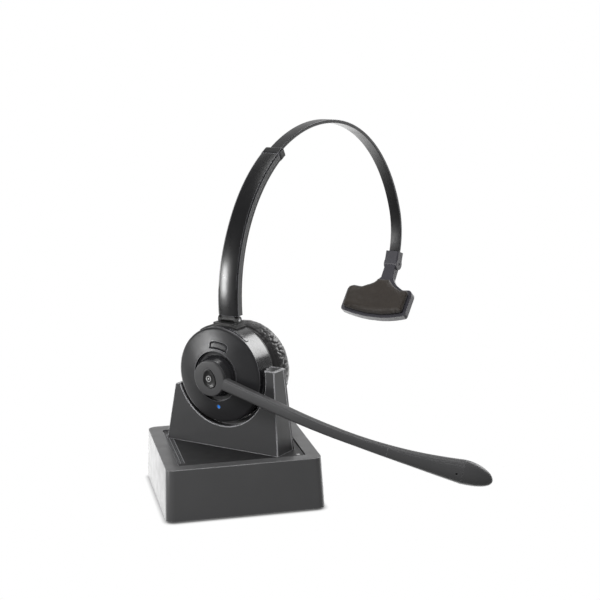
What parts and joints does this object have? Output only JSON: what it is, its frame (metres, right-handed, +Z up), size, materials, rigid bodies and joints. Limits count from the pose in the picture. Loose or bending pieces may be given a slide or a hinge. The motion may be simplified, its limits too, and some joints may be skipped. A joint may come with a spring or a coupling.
{
  "type": "office headset",
  "caption": "Single-ear wireless office headset with a swinging microphone boom, sliding headband and temple pad, standing in its square charging dock.",
  "frame": {"origin": "centre of the dock's flat resting face", "axes": "+Z up, +X the way the microphone boom points, +Y from the ear cup towards the temple pad; the dock square is turned 45 degrees about Z"},
  "size_m": [0.2034, 0.2376, 0.1891],
  "materials": {
    "dock_plastic": "fine moulded texture, charcoal",
    "deck_plastic": "smooth black",
    "cradle_plastic": "satin charcoal",
    "foot_rubber": "matte",
    "plated_steel": "zinc plated",
    "circuit_board": "solder mask",
    "clear_lens": "translucent",
    "gold_plate": "gold plated",
    "gloss_shell": "polished black",
    "satin_cover": "satin charcoal",
    "trim_plastic": "matte black",
    "cushion_leather": "soft grained leatherette",
    "speaker_fabric": "acoustic cloth",
    "battery_foil": "foil",
    "blue_led": "glowing lens",
    "boom_plastic": "satin charcoal",
    "button_plastic": "satin black",
    "gloss_sleeve": "polished black",
    "cap_plastic": "satin black",
    "band_coating": "semi-gloss black",
    "temple_plastic": "satin grey",
    "pad_leather": "matte brown-grey"
  },
  "bodies": {
    "dock": {"dock_shell": "dock_plastic", "dock_deck": "deck_plastic", "dock_bottom": "deck_plastic", "dock_foot_pad": "foot_rubber", "dock_weight": "plated_steel", "dock_pcb": "circuit_board", "usb_socket": "plated_steel", "dock_screws": "plated_steel", "dock_led": "clear_lens", "cradle": "cradle_plastic", "cradle_back": "cradle_plastic", "pin_block": "deck_plastic"},
    "charge_pins": {"charge_pins": "gold_plate"},
    "cup": {"cup_shell": "gloss_shell", "front_cover": "satin_cover", "rear_plate": "trim_plastic", "ear_cushion": "cushion_leather", "speaker_cloth": "speaker_fabric", "speaker_driver": "plated_steel", "battery": "battery_foil", "main_pcb": "circuit_board", "tact_switches": "trim_plastic", "charge_contacts": "gold_plate", "cup_led": "blue_led", "cup_screws": "plated_steel", "swivel_bushing": "trim_plastic", "friction_washer": "plated_steel", "yoke_saddle": "trim_plastic", "yoke_pin": "plated_steel", "rocker_pin": "plated_steel"},
    "call_button": {"call_button": "satin_cover"},
    "volume_rocker": {"volume_rocker": "gloss_shell"},
    "boom": {"hub_base": "gloss_shell", "boom_arm": "boom_plastic", "boom_spindle": "plated_steel", "boom_clip": "plated_steel", "mic_housing": "boom_plastic", "mic_capsule": "battery_foil", "mic_tip": "boom_plastic", "mute_dome": "plated_steel"},
    "mute_button": {"mute_button": "button_plastic"},
    "arm": {"arm_yoke": "trim_plastic", "arm_shell": "gloss_sleeve", "arm_liner": "trim_plastic", "arm_screw": "plated_steel", "end_cap": "cap_plastic", "detent_spring": "plated_steel"},
    "band": {"spring_band": "band_coating", "band_stop": "trim_plastic", "collar": "temple_plastic", "temple_pin": "plated_steel"},
    "temple": {"temple_holder": "temple_plastic", "temple_pad": "pad_leather"}
  },
  "joints": [
    {"name": "headset_lift", "type": "slide", "parent": "dock", "child": "cup", "axis": [0, 0, 1], "range_m": [0, 0.06]},
    {"name": "charge_pin_press", "type": "slide", "parent": "dock", "child": "charge_pins", "axis": [0, 0, 1], "range_m": [-0.0005, 0], "stiffness_N_per_m": 300},
    {"name": "call_press", "type": "slide", "parent": "cup", "child": "call_button", "axis": [0, 1, 0], "range_m": [0, 0.0006], "stiffness_N_per_m": 500},
    {"name": "volume_rock", "type": "hinge", "parent": "cup", "child": "volume_rocker", "pos_m": [0.01048, -0.0067, 0.08643], "axis": [0, 1, 0], "range_deg": [-2, 2], "stiffness_Nm_per_rad": 0.05},
    {"name": "boom_swing", "type": "hinge", "parent": "cup", "child": "boom", "pos_m": [0, -0.0095, 0.0663], "axis": [0, -1, 0], "range_deg": [-7, 216]},
    {"name": "mute_press", "type": "slide", "parent": "boom", "child": "mute_button", "axis": [0, 1, 0], "range_m": [0, 0.0005], "stiffness_N_per_m": 500},
    {"name": "arm_tilt", "type": "hinge", "parent": "cup", "child": "arm", "pos_m": [0, 0.0018, 0.0937], "axis": [1, 0, 0], "range_deg": [-10, 10], "stiffness_Nm_per_rad": 0.5},
    {"name": "band_extend", "type": "hinge", "parent": "arm", "child": "band", "pos_m": [0, 0.0874, 0.1014], "axis": [-1, 0, 0], "range_deg": [0, 17]},
    {"name": "temple_tilt", "type": "hinge", "parent": "band", "child": "temple", "pos_m": [0, 0.1752, 0.0936], "axis": [1, 0, 0], "range_deg": [-12, 12], "stiffness_Nm_per_rad": 0.02}
  ]
}
